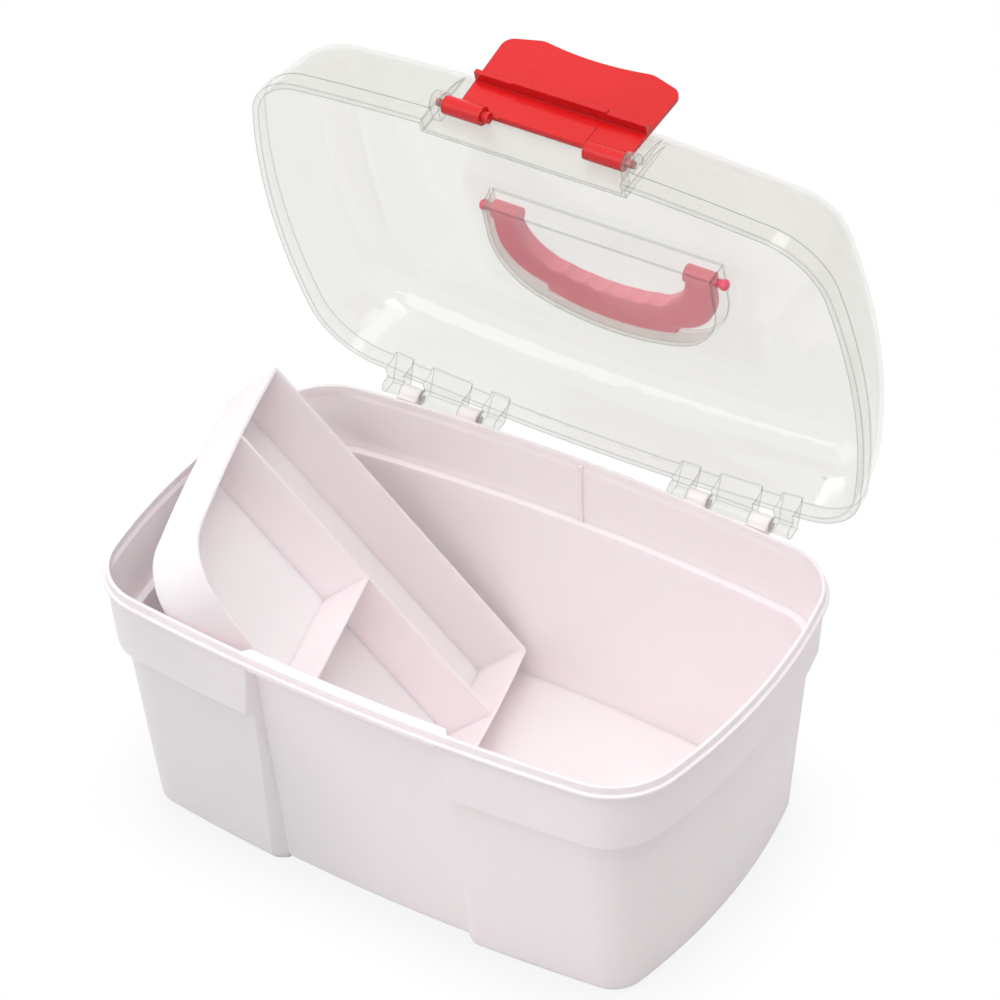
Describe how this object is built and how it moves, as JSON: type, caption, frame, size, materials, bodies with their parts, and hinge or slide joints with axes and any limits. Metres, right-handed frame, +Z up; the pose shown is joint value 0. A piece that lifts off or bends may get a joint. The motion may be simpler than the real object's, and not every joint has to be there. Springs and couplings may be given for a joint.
{
  "type": "first aid box",
  "caption": "Bowed plastic carry box with a clear snap-hinged lid, a flip latch, a folding handle in a pocket and a loose divided tray.",
  "frame": {"origin": "middle of the flat underside of the bin", "axes": "+X along the box to the right, -Y towards the latch side, +Z up"},
  "size_m": [0.2932, 0.2282, 0.3169],
  "materials": {
    "bin": "satin, faintly translucent",
    "lid": "clear, smooth",
    "latch": "smooth",
    "handle": "smooth",
    "tray": "satin, faintly translucent"
  },
  "bodies": {
    "bin": {"bin": "bin"},
    "lid": {"lid": "lid"},
    "latch": {"latch": "latch"},
    "handle": {"handle": "handle"},
    "tray": {"tray": "tray"}
  },
  "joints": [
    {"name": "lid_hinge", "type": "hinge", "parent": "bin", "child": "lid", "pos_m": [0, 0.0955, 0.1239], "axis": [1, 0, 0], "range_deg": [0, 76.3]},
    {"name": "latch_flip", "type": "hinge", "parent": "lid", "child": "latch", "pos_m": [0, 0.06534, 0.308], "axis": [1, 0, 0], "range_deg": [0, 180]},
    {"name": "handle_swing", "type": "hinge", "parent": "lid", "child": "handle", "pos_m": [0, 0.11469, 0.22461], "axis": [1, 0, 0], "range_deg": [0, 100]},
    {"name": "tray_shift", "type": "slide", "parent": "bin", "child": "tray", "axis": [0.9889, 0.1483, 0], "range_m": [0, 0.0127]}
  ],
  "couplings": [
    {"joint": "tray_shift", "follows": "lid_hinge", "m_per_rad": 0.0095}
  ]
}
